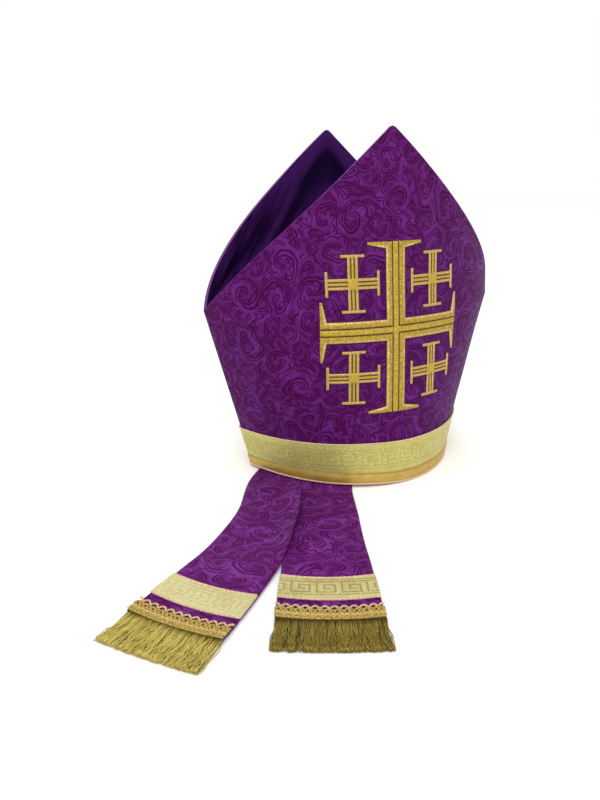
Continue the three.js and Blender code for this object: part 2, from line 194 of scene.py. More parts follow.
def ring_point(w, height, inset):
    """Round the rim: w runs from -2 at the middle of the rear, over 0 at the front, to 2."""
    w, height, inset = matched(w, height, inset)
    rear = np.abs(w) > 1
    share = np.where(rear, w - 2 * np.sign(w), w)
    front_side = panel_point(share, height, inset)
    return propped(np.where(rear[..., None], half_turn(front_side), front_side))


# ---- meshes -----------------------------------------------------------------------------------------


def outward(points, quads):
    """The faces of a closed mesh, all turned over if they face inwards."""
    a, b, c, d = (points[quads[:, k]] for k in range(4))
    volume = (a * np.cross(b, c)).sum() + (a * np.cross(c, d)).sum()
    return quads[:, ::-1] if volume < 0 else quads


def make_object(name, points, quads, cloth, materials, slots=None):
    """A mesh from points in millimetres. cloth holds each vertex's place on its cloth, for the materials."""
    points = np.asarray(points, float).reshape(-1, 3) * MM
    quads = outward(points, np.asarray(quads, np.int32).reshape(-1, 4))
    mesh = bpy.data.meshes.new(name)
    mesh.vertices.add(len(points))
    mesh.vertices.foreach_set("co", points.astype(np.float32).ravel())
    mesh.loops.add(quads.size)
    mesh.polygons.add(len(quads))
    mesh.polygons.foreach_set("loop_start", np.arange(0, quads.size, 4, dtype=np.int32))
    mesh.polygons.foreach_set("vertices", np.ascontiguousarray(quads).ravel())
    if slots is not None:
        mesh.polygons.foreach_set("material_index", np.asarray(slots, np.int32))
    mesh.update(calc_edges=True)
    attribute = mesh.attributes.new("cloth", "FLOAT_VECTOR", "POINT")
    values = np.zeros((len(points), 3), np.float32)
    cloth = np.asarray(cloth, float).reshape(len(points), -1)
    values[:, : cloth.shape[1]] = cloth
    attribute.data.foreach_set("vector", values.ravel())
    mesh.polygons.foreach_set("use_smooth", np.ones(len(quads), bool))
    for material in materials:
        mesh.materials.append(material)
    made = bpy.data.objects.new(name, mesh)
    bpy.context.scene.collection.objects.link(made)
    return made


def grid_quads(rows, columns, start=0):
    index = start + np.arange(rows * columns).reshape(rows, columns)
    corners = (index[:-1, :-1], index[:-1, 1:], index[1:, 1:], index[1:, :-1])
    return np.stack([corner.ravel() for corner in corners], -1)


def outline_of(rows, columns):
    """The grid's outer ring of indices, and for each the index of its neighbour one step inside."""
    index = np.arange(rows * columns).reshape(rows, columns)
    inner = np.pad(index[1:-1, 1:-1], 1, mode="edge")
    sides = [(index[0, :-1], inner[0, :-1]), (index[:-1, -1], inner[:-1, -1])]
    sides += [(index[-1, :0:-1], inner[-1, :0:-1]), (index[:0:-1, 0], inner[:0:-1, 0])]
    return np.concatenate([s[0] for s in sides]), np.concatenate([s[1] for s in sides])


def sheet(name, face, back, cloth, face_material, back_material=None, edge_material=None, edge_bulge=1.0):
    """A sheet with thickness and rounded edges, from two grids of points."""
    rows, columns = face.shape[:2]
    flat_face, flat_back = face.reshape(-1, 3), back.reshape(-1, 3)
    flat_cloth = cloth.reshape(rows * columns, -1)
    ring, inside = outline_of(rows, columns)
    away = unit(flat_face[ring] - flat_face[inside])
    middle = (flat_face[ring] + flat_back[ring]) / 2
    half = (flat_face[ring] - flat_back[ring]) / 2
    thickness = np.linalg.norm(half, axis=-1, keepdims=True)
    turns = [math.radians(degrees) for degrees in (45, 90, 135)]
    loops = [middle + half * math.cos(t) + away * thickness * edge_bulge * math.sin(t) for t in turns]
    count = rows * columns
    between = [2 * count + k * len(ring) + np.arange(len(ring)) for k in range(len(loops))]
    chain = [ring, *between, count + ring]
    bands = [np.stack([a, b, np.roll(b, -1), np.roll(a, -1)], -1) for a, b in zip(chain, chain[1:])]
    front = grid_quads(rows, columns)
    behind = grid_quads(rows, columns, count)[:, ::-1]
    quads = np.concatenate([front, behind, *bands])
    slots = np.zeros(len(quads), int)
    slots[len(front) : len(front) + len(behind)] = 1
    slots[len(front) + len(behind) :] = 2
    points = np.concatenate([flat_face, flat_back, *loops])
    places = np.concatenate([flat_cloth, flat_cloth, *[flat_cloth[ring]] * len(loops)])
    materials = [face_material, back_material or face_material, edge_material or face_material]
    return make_object(name, points, quads, places, materials, slots)


def tube_quads(steps, sides):
    """The indices of a tube's rings, and the faces between them."""
    index = np.arange(steps * sides).reshape(steps, sides)
    turned = np.roll(index, -1, axis=1)
    return index, np.stack([index[:-1], turned[:-1], turned[1:], index[1:]], -1).reshape(-1, 4)


def across_path(path, normals):
    """Two directions square to a path at each point: the one nearest its normal and the one beside it."""
    along = unit(np.gradient(path, axis=-2))
    upward = unit(normals - (normals * along).sum(-1, keepdims=True) * along)
    return upward, np.cross(along, upward)


def tube_parts(paths, normals, radii, sides):
    """Closed round cords along many paths at once: paths is (strands, steps, 3), radii one per step."""
    paths = np.asarray(paths, float)
    strands, steps = paths.shape[:2]
    upward, aside = across_path(paths, normals)
    radii = np.broadcast_to(np.asarray(radii, float), (strands, steps))
    turns = TAU * np.arange(sides) / sides
    ring = upward[:, :, None] * np.cos(turns)[:, None] + aside[:, :, None] * np.sin(turns)[:, None]
    skin = paths[:, :, None] + ring * radii[:, :, None, None]
    points = skin.reshape(strands, -1, 3)
    index, body = tube_quads(steps, sides)
    fan = np.array([[0, k, k + 1, k + 2] for k in range(1, sides - 1, 2)])
    one = np.concatenate([body, index[0][fan][:, ::-1], index[-1][fan]])
    quads = (one[None] + (np.arange(strands) * points.shape[1])[:, None, None]).reshape(-1, 4)
    pieces = np.linalg.norm(np.diff(paths, axis=1), axis=-1)
    travelled = np.concatenate([np.zeros((strands, 1)), np.cumsum(pieces, axis=1)], axis=1)
    lengths = np.repeat(travelled[:, :, None], sides, 2).reshape(strands, -1)
    around = np.tile(np.arange(sides) / sides, steps)
    return points, quads, lengths, np.broadcast_to(around, lengths.shape)


def tubes(name, paths, normals, radii, material, sides=6, tone=None):
    """One object of many cords. Their cloth places are length, side and a tone for each strand."""
    points, quads, lengths, around = tube_parts(paths, normals, radii, sides)
    tone = np.zeros(len(points)) if tone is None else np.asarray(tone, float)
    tones = np.broadcast_to(tone[:, None], lengths.shape)
    return make_object(name, points, quads, np.stack([lengths, around, tones], -1), [material])


def plied(path, normals, radius, pitch, plies=2):
    """The middle lines of the plies of a twisted cord, as (plies, steps, 3)."""
    upward, aside = across_path(path, normals)
    turns = TAU * distances(path)[None] / pitch + TAU * np.arange(plies)[:, None] / plies
    return path + radius * (upward * np.cos(turns)[..., None] + aside * np.sin(turns)[..., None])


def settle(piece, node):
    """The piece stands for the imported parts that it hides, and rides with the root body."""
    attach(piece, "root")
    nodes = [node] if isinstance(node, str) else node
    if nodes:
        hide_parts(*nodes)
    return piece


# ---- materials --------------------------------------------------------------------------------------


def srgb(red, green, blue):
    """A colour given as 0 to 255 on screen, as the linear colour that a shader takes."""
    channels = [c / 255 for c in (red, green, blue)]
    return (*[c / 12.92 if c <= 0.04045 else ((c + 0.055) / 1.055) ** 2.4 for c in channels], 1.0)


class Finish:
    """A material under construction: short calls that add nodes and link them."""

    def __init__(self, name, **settings):
        self.material = bpy.data.materials.new(name)
        self.material.use_nodes = True
        self.tree = self.material.node_tree
        self.tree.nodes.clear()
        self.shader = self.add("ShaderNodeBsdfPrincipled")
        output = self.add("ShaderNodeOutputMaterial")
        self.tree.links.new(self.shader.outputs[0], output.inputs["Surface"])
        for socket, value in settings.items():
            self.put(self.shader.inputs[socket.replace("_", " ")], value)
        self.place = self.add("ShaderNodeAttribute", attribute_name="cloth").outputs["Vector"]

    def add(self, kind, *values, **settings):
        """A node with its settings, and its first inputs in order. None leaves an input as it is."""
        node = self.tree.nodes.new(kind)
        for key, value in settings.items():
            setattr(node, key, value)
        for socket, value in zip(node.inputs, values):
            if value is not None:
                self.put(socket, value)
        return node

    def put(self, socket, value):
        if isinstance(value, bpy.types.NodeSocket):
            self.tree.links.new(value, socket)
        else:
            socket.default_value = value

    def math(self, operation, *values, clamp=False):
        return self.add("ShaderNodeMath", *values, operation=operation, use_clamp=clamp).outputs[0]

    def times(self, *values):
        return self.math("MULTIPLY", *values)

    def plus(self, *values, clamp=False):
        return self.math("ADD", *values, clamp=clamp)

    def minus(self, *values):
        return self.math("SUBTRACT", *values)

    def wave(self, distance, period):
        return self.math("SINE", self.times(distance, TAU / period))

    def vector(self, operation, *values, scale=None):
        node = self.add("ShaderNodeVectorMath", *values, operation=operation)
        if scale is not None:
            self.put(node.inputs["Scale"], scale)
        return node.outputs["Value"] if operation == "LENGTH" else node.outputs[0]

    def parts(self, vector):
        return tuple(self.add("ShaderNodeSeparateXYZ", vector).outputs)

    def join(self, x, y, z=0.0):
        return self.add("ShaderNodeCombineXYZ", x, y, z).outputs[0]

    def noise(self, vector, scale, detail=2.0, roughness=0.5):
        node = self.add("ShaderNodeTexNoise")
        self.put(node.inputs["Vector"], vector)
        self.put(node.inputs["Scale"], scale)
        self.put(node.inputs["Detail"], detail)
        self.put(node.inputs["Roughness"], roughness)
        return node.outputs["Fac"], node.outputs["Color"]

    def blend(self, factor, first, second, mode="MIX"):
        values = (factor, *[None] * 5, first, second)
        return self.add("ShaderNodeMix", *values, data_type="RGBA", blend_type=mode).outputs[2]

    def between(self, factor, first, second):
        return self.add("ShaderNodeMix", factor, None, first, second, data_type="FLOAT").outputs[0]

    def step(self, value, low, high):
        """0 below low, 1 above high and smooth between. With high under low it runs the other way."""
        ends = (0.0, 1.0) if low < high else (1.0, 0.0)
        values = (value, min(low, high), max(low, high), *ends)
        return self.add("ShaderNodeMapRange", *values, interpolation_type="SMOOTHSTEP").outputs[0]

    def line(self, distance, half_width, blur):
        """1 within half_width of where distance is 0."""
        return self.step(self.math("ABSOLUTE", distance), half_width + blur, half_width)

    def bump(self, height, distance_mm, strength):
        node = self.add("ShaderNodeBump")
        self.put(node.inputs["Height"], height)
        node.inputs["Distance"].default_value = distance_mm * MM
        node.inputs["Strength"].default_value = strength
        return node.outputs[0]

    def done(self, **links):
        for socket, value in links.items():
            self.put(self.shader.inputs[socket.replace("_", " ")], value)
        return self.material


def scrolls(finish, place, cell, pitch, lobes, randomness):
    """Scrolling stems with lobed leaves, one scroll to a cell. Returns (lines, leaf, radius)."""
    scaled = finish.vector("SCALE", place, scale=1 / cell)
    cells = finish.add("ShaderNodeTexVoronoi", voronoi_dimensions="2D", feature="F1")
    finish.put(cells.inputs["Vector"], scaled)
    finish.put(cells.inputs["Scale"], 1.0)
    finish.put(cells.inputs["Randomness"], randomness)
    local = finish.vector("SUBTRACT", scaled, cells.outputs["Position"])
    x, y, _ = finish.parts(local)
    red, green, _ = finish.parts(cells.outputs["Color"])
    radius = finish.times(finish.vector("LENGTH", finish.join(x, y)), cell)
    way = finish.math("SIGN", finish.minus(green, 0.5))
    spin = finish.times(red, TAU)
    angle = finish.times(finish.plus(finish.math("ARCTAN2", y, x), spin), way)
    turns = finish.minus(finish.math("DIVIDE", radius, pitch), finish.math("DIVIDE", angle, TAU))
    band = finish.math("FRACT", turns)
    from_stem = finish.minus(finish.math("ABSOLUTE", finish.minus(band, 0.5)), 0.12)
    stems = finish.line(from_stem, 0.035, 0.06)
    out = finish.math("FRACT", finish.minus(band, 0.62))
    slanted = finish.plus(finish.times(angle, lobes / 2), finish.times(out, 2.4))
    lobe = finish.math("ABSOLUTE", finish.math("SINE", slanted))
    edge = finish.plus(finish.times(lobe, 0.26), 0.34)
    past_edge = finish.minus(out, edge)
    leaf_line = finish.line(past_edge, 0.035, 0.06)
    leaf = finish.step(past_edge, 0.02, -0.02)
    vein_wave = finish.math("ABSOLUTE", finish.math("COSINE", slanted))
    veins = finish.times(finish.step(vein_wave, 0.10, 0.02), leaf)
    drawn = finish.math("MAXIMUM", finish.math("MAXIMUM", stems, leaf_line), finish.times(veins, 0.7))
    return drawn, leaf, radius


def brocade(name, light, middle, dark):
    """Silk brocade: a tone-on-tone figure of scrolls and leaves on a satin ground."""
    finish = Finish(name, Sheen_Weight=0.03, Sheen_Roughness=0.4, Specular_IOR_Level=0.08)
    finish.shader.inputs["Sheen Tint"].default_value = srgb(170, 60, 190)
    finish.shader.inputs["Specular Tint"].default_value = srgb(205, 120, 220)
    place = finish.place
    for scale, reach_mm in ((0.021, 26.0), (0.075, 7.0)):
        _, wander = finish.noise(finish.place, scale, 1.0)
        shift = finish.vector("SCALE", finish.vector("SUBTRACT", wander, (0.5, 0.5, 0.5)), scale=reach_mm)
        place = finish.vector("ADD", place, shift)
    drawn, leaf, radius = scrolls(finish, place, 38.0, 11.5, 7, 0.85)
    shifted = finish.vector("ADD", place, (13.0, 7.0, 0.0))
    filler, small_leaf, _ = scrolls(finish, shifted, 19.0, 8.5, 4, 0.95)
    outside = finish.step(radius, 13.0, 16.0)
    lines = finish.between(outside, drawn, filler)
    leaves = finish.between(outside, leaf, small_leaf)
    patches, _ = finish.noise(place, 0.065, 2.0)
    ground = finish.blend(finish.step(patches, 0.52, 0.56), middle, light)
    figure = finish.blend(finish.times(leaves, 0.3), ground, light)
    colour = finish.blend(finish.times(lines, 0.85), figure, dark)
    u, v, _ = finish.parts(finish.place)
    twill = finish.wave(finish.plus(u, v), 0.55)
    woven = finish.times(twill, 0.12)
    raised = finish.minus(finish.times(leaves, 0.5), lines)
    height = finish.plus(raised, woven)
    roughness = finish.plus(0.5, finish.times(lines, 0.15))
    return finish.done(Base_Color=colour, Roughness=roughness, Normal=finish.bump(height, 0.16, 0.8))


def satin(name, colour, shade):
    finish = Finish(name, Roughness=0.5, Specular_IOR_Level=0.0)
    finish.shader.inputs["Specular Tint"].default_value = srgb(150, 90, 200)
    u, v, _ = finish.parts(finish.place)
    aside = finish.math("SQRT", finish.plus(finish.times(u, u), 900.0))
    across = finish.plus(v, aside)
    along = finish.times(finish.minus(v, aside), 0.3)
    folds, _ = finish.noise(finish.join(across, along), 0.045, 3.0)
    tinted = finish.blend(finish.step(folds, 0.36, 0.62), shade, colour)
    warp = finish.wave(u, 0.4)
    height = finish.plus(finish.times(folds, 12.0), finish.times(warp, 0.04))
    return finish.done(Base_Color=tinted, Normal=finish.bump(height, 0.5, 0.8))


def boxes(finish, x, y, table):
    """Signed distance to a union of upright boxes, each a row (low x, high x, low y, high y)."""
    nearest = None
    for low_x, high_x, low_y, high_y in table:
        off_x = finish.minus(x, (low_x + high_x) / 2)
        off_y = finish.minus(y, (low_y + high_y) / 2)
        past_x = finish.minus(finish.math("ABSOLUTE", off_x), (high_x - low_x) / 2)
        past_y = finish.minus(finish.math("ABSOLUTE", off_y), (high_y - low_y) / 2)
        distance = finish.math("MAXIMUM", past_x, past_y)
        nearest = distance if nearest is None else finish.math("MINIMUM", nearest, distance)
    return nearest


# One unit of the key pattern on the braid, as lengths of its line: 18 wide and 14 high, from its left foot.
KEY_LENGTH, KEY_HEIGHT, KEY_LINE = 18.0, 14.0, 1.5
KEY_BARS = (
    (0.0, KEY_LENGTH, 0.0, KEY_LINE),
    (0.0, KEY_LINE, 0.0, KEY_HEIGHT),
    (0.0, 14.5, KEY_HEIGHT - KEY_LINE, KEY_HEIGHT),
    (14.5 - KEY_LINE, 14.5, 4.0, KEY_HEIGHT),
    (5.5, 14.5, 4.0, 4.0 + KEY_LINE),
    (5.5, 5.5 + KEY_LINE, 4.0, 10.0),
    (5.5, 10.5, 8.5, 10.0),
)


def braid(name, ground, figure, fleck, middle, contrast):
    """Metallic woven braid: a key pattern between two pairs of stripes. middle is its mid-height."""
    finish = Finish(name, Metallic=0.45, Specular_IOR_Level=0.5, Sheen_Weight=0.1)
    u, v, _ = finish.parts(finish.place)
    across = finish.minus(v, middle - KEY_HEIGHT / 2)
    along = finish.times(finish.math("FRACT", finish.math("DIVIDE", u, KEY_LENGTH)), KEY_LENGTH)
    key = finish.step(boxes(finish, along, across, KEY_BARS), 0.25, -0.1)
    from_middle = finish.math("ABSOLUTE", finish.minus(v, middle))
    stripe = finish.line(finish.minus(from_middle, KEY_HEIGHT / 2 + 2.0), 0.5, 0.25)
    drawn = finish.math("MAXIMUM", key, stripe)
    weft = finish.wave(v, 0.7)
    warp = finish.wave(u, 0.9)
    flecks, _ = finish.noise(finish.vector("MULTIPLY", finish.place, (0.9, 1.8, 1.0)), 0.42, 3.0, 0.8)
    worn, _ = finish.noise(finish.place, 0.06, 2.0)
    base = finish.blend(finish.times(drawn, contrast), ground, figure)
    dull = finish.blend(0.45, base, (0.12, 0.09, 0.02, 1.0))
    dulled = finish.blend(finish.step(flecks, 0.46, 0.3), base, dull)
    # Bright specks of the fleck colour: painted glitter, highlights on the metal threads.
    glittered = finish.blend(finish.step(flecks, 0.54, 0.68), dulled, fleck)
    colour = finish.blend(finish.times(finish.step(worn, 0.4, 0.7), 0.25), glittered, figure)
    woven = finish.plus(finish.times(weft, 0.25), finish.times(warp, 0.15))
    height = finish.plus(finish.plus(woven, drawn), finish.times(flecks, 0.5))
    roughness = finish.plus(0.36, finish.times(flecks, 0.25))
    return finish.done(Base_Color=colour, Roughness=roughness, Normal=finish.bump(height, 0.18, 0.7))


def ribbed_gold(name, colour, shade):
    """The rolled edging: metallic braid with slanting ribs."""
    finish = Finish(name, Metallic=0.5, Specular_IOR_Level=0.5)
    u, v, _ = finish.parts(finish.place)
    slant = finish.plus(u, finish.times(v, 0.8))
    ribs = finish.wave(slant, 2.2)
    flecks, _ = finish.noise(finish.place, 1.1, 2.0, 0.6)
    patches, _ = finish.noise(finish.place, 0.09, 2.0)
    dark_ribs = finish.step(ribs, 0.2, -0.8)
    tinted = finish.blend(finish.times(finish.step(patches, 0.3, 0.7), 0.5), colour, shade)
    tinted = finish.blend(finish.times(dark_ribs, 0.5), tinted, shade)
    colour_out = finish.blend(finish.step(flecks, 0.35, 0.6), finish.blend(0.4, tinted, shade), tinted)
    height = finish.plus(finish.times(ribs, 0.5), flecks)
    return finish.done(Base_Color=colour_out, Roughness=0.42, Normal=finish.bump(height, 0.2, 0.8))


def thread(name, core, edge, metallic=0.55, roughness=0.38):
    """Metallic thread laid in satin stitch. Its colour runs from core at side 0 to edge at side 1."""
    finish = Finish(name, Metallic=metallic, Specular_IOR_Level=0.5, Sheen_Weight=0.1)
    u, side, _ = finish.parts(finish.place)
    flecks, _ = finish.noise(finish.join(finish.times(u, 0.9), finish.times(side, 2.0)), 1.0, 3.0, 0.8)
    base = finish.blend(finish.step(side, 0.5, 0.9), core, edge)
    darker = finish.blend(1.0, base, (0.58, 0.52, 0.36, 1.0), "MULTIPLY")
    colour = finish.blend(finish.step(flecks, 0.6, 0.42), base, darker)
    glint = finish.blend(0.35, base, (1.0, 0.92, 0.6, 1.0))
    colour = finish.blend(finish.step(flecks, 0.56, 0.7), colour, glint)
    rough = finish.plus(roughness, finish.times(flecks, 0.15))
    return finish.done(Base_Color=colour, Roughness=rough)


def strand(name, light, dark):
    """Fine metallic fringe: every strand its own tone, darker towards its root."""
    finish = Finish(name, Metallic=0.5, Specular_IOR_Level=0.5)
    u, _, tone = finish.parts(finish.place)
    twist = finish.wave(u, 1.4)
    spots = finish.join(finish.times(u, 0.16), finish.times(tone, 37.0))
    worn, _ = finish.noise(spots, 1.0, 2.0)
    tone = finish.plus(tone, finish.times(finish.minus(worn, 0.5), 2.2), clamp=True)
    base = finish.blend(finish.times(tone, finish.step(u, 1.0, 9.0)), dark, light)
    lit = finish.times(finish.plus(finish.times(twist, 0.5), 0.5), 0.35)
    return finish.done(Base_Color=finish.blend(lit, base, light), Roughness=0.4)


def matte(name, colour):
    finish = Finish(name, Roughness=0.8)
    patches, _ = finish.noise(finish.place, 0.8, 2.0)
    faded = finish.blend(finish.times(patches, 0.3), colour, (0.0, 0.0, 0.0, 1.0))
    return finish.done(Base_Color=faded)


PANEL_CLOTH = brocade("purple_brocade", srgb(94, 33, 108), srgb(80, 21, 85), srgb(54, 3, 51))
# The panels' brocade painted lighter for the lappets: painted light, as they lie facing up to the lamps.
LIT_LAPPETS = brocade("brocade_painted_lighter", srgb(112, 44, 126), srgb(93, 28, 100), srgb(64, 7, 64))
LINING_CLOTH = satin("dark_satin", srgb(60, 26, 86), srgb(24, 8, 42))
BRAID = braid("pale_gold_braid", srgb(190, 181, 96), srgb(150, 138, 66), srgb(236, 230, 184), 25.5, 0.35)
# The lappets' braid painted paler and of less contrast for the left lappet: painted light, washed out by
# glare.
LIT_BRAID = braid(
    "braid_painted_lighter", srgb(208, 200, 142), srgb(182, 170, 104), srgb(240, 236, 206), 0.0, 0.45
)
LAPPET_BRAID = braid("lappet_braid", srgb(206, 197, 132), srgb(146, 128, 48), srgb(236, 230, 190), 0.0, 0.75)
EDGING = ribbed_gold("orange_gold_edging", srgb(206, 178, 92), srgb(166, 128, 50))
ROSE_CORD = thread("rose_gold_cord", srgb(238, 206, 184), srgb(246, 222, 206), 0.15, 0.5)
GOLD_THREAD = thread("gold_thread", srgb(192, 162, 50), srgb(236, 192, 140))
YELLOW_THREAD = thread("yellow_gold_thread", srgb(200, 174, 52), srgb(206, 170, 64))
ROSE_THREAD = thread("rose_gold_thread", srgb(214, 172, 96), srgb(238, 198, 152))
# A lighter purple on the panels' rounded edges: a painted highlight along the folds.
HIGHLIT_EDGE = matte("edge_painted_highlight", srgb(112, 53, 126))
# A gold ground under the embroidery strands and the fringe gimp, painted dark: painted shade in the gaps
# between them.
SHADED_GROUND_GOLD = matte("gold_ground_painted_dark", srgb(84, 62, 18))
# A dark sheet just under the embroidery and wider than it: painted shadow round the stitches.
SHADE = matte("painted_shadow_outline", srgb(36, 3, 30))
# One gold for both fringes, in a copy painted lighter for the left and one painted darker for the right:
# painted light and shade.
LIT_FRINGE = strand("old_gold_fringe", srgb(214, 198, 104), srgb(120, 98, 26))
SHADED_FRINGE = strand("fringe_gold_painted_darker", srgb(160, 140, 58), srgb(70, 54, 10))
GIMP = thread("gimp_gold", srgb(198, 172, 82), srgb(226, 200, 140), 0.35, 0.45)
PALE_GIMP = thread("pale_gimp", srgb(228, 202, 144), srgb(240, 216, 178), 0.25, 0.45)

# ---- the panels and the lining ----------------------------------------------------------------------


def panel(name, node, rear):
    lean = REAR_LEAN if rear else FRONT_LEAN
    horn = CORNER_HEIGHT + (PEAK_HEIGHT - CORNER_HEIGHT) * np.sin(np.linspace(0, math.pi / 2, 75))
    heights = np.concatenate([np.linspace(FOOT, CORNER_HEIGHT, 50), horn[1:]])
    height, across = np.meshgrid(heights, np.linspace(-1, 1, 101), indexing="ij")
    share = across * reach(height)
    u = arc_length(share, height)
    out = panel_normal(share, height, lean) * swell(u + (91 if rear else 0), height, share)[..., None]
    turn = half_turn if rear else (lambda points: points)
    face, back = (propped(turn(panel_point(share, height, inset, lean) + out)) for inset in (0.0, WALL))
    cloth = np.stack([u + (700 if rear else 0), height], -1)
    made = sheet(name, face, back, cloth, PANEL_CLOTH, LINING_CLOTH, HIGHLIT_EDGE, 0.4)
    return settle(made, node)


def crease_seams():
    """The seam that joins the two panels down each side, in the groove between their rounded edges."""
    heights = np.linspace(12, CORNER_HEIGHT - 0.3, 90)
    middle_plane = np.array([1.0, 0.0, 1.0])
    paths = [propped(panel_point(side, heights, 1.2) * middle_plane) for side in (-1.0, 1.0)]
    normals = np.broadcast_to(np.array([0.0, 1.0, 0.0]), (2, len(heights), 3))
    piece = tubes("crease_seams", paths, normals, 1.3, PANEL_CLOTH, sides=8)
    return settle(piece, [])


def horn_lining():
    """The satin inside both horns and across the valley between them, with folds running to the corners."""
    heights = np.linspace(CORNER_HEIGHT, PEAK_HEIGHT, 200)
    half_width = CORNER_WIDTH - SIDE_INSET * (WALL + LINING_GAP)
    columns = 0.9995 * half_width * np.sin(np.linspace(-1, 1, 91) * math.pi / 2)
    x, along = np.meshgrid(columns, np.linspace(-1, 1, 121), indexing="ij")
    valley = lerp(VALLEY_LOW, VALLEY_HIGH, (x / half_width) ** 2)
    up = np.abs(along)

    def surface(inset, drop):
        lean = np.where(along < 0, FRONT_LEAN, REAR_LEAN)
        angle = math.radians(CORNER_ANGLE)
        share = np.arcsin(np.clip(x / (CORNER_WIDTH - inset * SIDE_INSET), -1, 1) * math.sin(angle)) / angle
        edge = np.interp(-np.abs(share), -reach(heights), heights) - LINING_GAP
        height = valley - drop + (edge - valley + drop) * up**1.7
        depth = -panel_point(share, np.maximum(height, CORNER_HEIGHT), inset, 0.0)[..., 1]
        above = (np.maximum(height, CORNER_HEIGHT) - CORNER_HEIGHT) / (PEAK_HEIGHT - CORNER_HEIGHT)
        depth = np.maximum(depth - lean * above, 0.3)
        to_corner = half_width - np.abs(x)
        fan = np.sin(up * 17 + np.sign(x) * 1.3) * np.exp(-to_corner / 34) * np.minimum(to_corner / 6, 1)
        sag = np.sin(x / 23 + 1.0) * np.cos(up * 4.4) * 0.8
        fade = smooth(up, 1.0, 0.86) * smooth(depth, 1, 9) * smooth(to_corner, 0, 16)
        folds = (1.5 * fan + sag + 0.8) * fade
        return np.stack([x, np.sign(along) * (depth * (1 - (1 - up) ** 2.2) - folds), height], -1)

    face, back = surface(WALL + LINING_GAP, 0.0), surface(WALL + 1.0, 1.2)
    cloth = np.stack([x, along * 150], -1)
    return settle(sheet("horn_lining", face, back, cloth, LINING_CLOTH), "crown_web")


# ---- the rim ----------------------------------------------------------------------------------------


def rim_strip(name, node, material, outside, inside, middle_height, rows):
    """A band round the rim, joined at the middle of the rear, from two profiles with rows (inset, height).
    rows holds the cloth's coordinate for each row of the profiles."""
    w = np.linspace(-RIM_SEAM, RIM_SEAM, 260)

    def swept(profile):
        inset, height = (np.array(column)[None] for column in zip(*profile))
        return ring_point(w[:, None], height, inset)

    u = distances(ring_point(w, middle_height, 0.0))
    cloth = np.stack(matched(u[:, None], rows[None]), -1)
    return settle(sheet(name, swept(outside), swept(inside), cloth, material), node)


def rim_cord(name, height, inset, radius, pitch, material):
    """A twisted cord round the rim."""
    w = np.linspace(-1.998, 1.998, 1100)
    path = ring_point(w, height, inset)
    out = path * np.array([1.0, 1.0, 0.0])
    strands = plied(path, unit(out), radius * 0.5, pitch)
    normals = np.broadcast_to(unit(out), strands.shape)
    piece = tubes(name, strands, normals, radius * 0.62, material)
    return settle(piece, [])


def rim():
    rows = np.linspace(0, 1, 17)
    height = lerp(BRAID_BOTTOM + 0.2, BRAID_TOP - 0.2, rows)
    crown = 1.25 + 0.25 * np.sin(rows * math.pi) ** 0.5
    outside, inside = list(zip(-crown, height)), [(-0.1, row) for row in height]
    rim_strip("rim_braid", "rim_galloon", BRAID, outside, inside, 20.0, height)
    rim_cord("rim_braid_upper_selvedge", BRAID_TOP, -1.15, 0.62, 2.2, ROSE_CORD)
    # The edging: an outer leg that bulges, a floor and an inner leg, as one rolled strip.
    turn = np.linspace(0, 1, 33)
    bulge = [(-1.7 - 0.75 * math.sin(math.pi * t), EDGING_TOP * (1 - t)) for t in turn[2:-2]]
    outer = [(-0.5, EDGING_TOP), *bulge]
    inner = [(-0.9, 0.05), (4.3, 0.05), (4.9, 1.0), (4.9, 4.5), (4.4, 6.2)]
    thick = [(-0.35, EDGING_TOP - 1), *((-0.5, max(height, 1.0)) for _, height in bulge)]
    under = [(-0.2, 1.1), (2.9, 1.1), (3.0, 1.4), (3.0, 4.5), (3.2, 6.0)]
    outside, inside = outer + inner, thick + under
    rows = np.arange(len(outside)) * 0.6
    rim_strip("rim_edging", "rim_binding", EDGING, outside, inside, 5.0, rows)
    rim_cord("rim_edging_cord", 1.1, -2.1, 0.75, 2.6, ROSE_CORD)
    rim_cord("rim_edging_upper_cord", EDGING_TOP, -1.5, 0.5, 2.0, GOLD_THREAD)


# ---- the embroidery ---------------------------------------------------------------------------------


def resampled(left, right, spacing):
    """Two edges of a band, given as matching corner points, with stations a spacing apart."""
    left, right = np.asarray(left, float), np.asarray(right, float)
    travelled = distances((left + right) / 2)
    s = np.linspace(0, travelled[-1], max(int(round(travelled[-1] / spacing)), 2) + 1)
    at = [np.stack([np.interp(s, travelled, side[:, k]) for k in (0, 1)], -1) for side in (left, right)]
    return s, at[0], at[1]


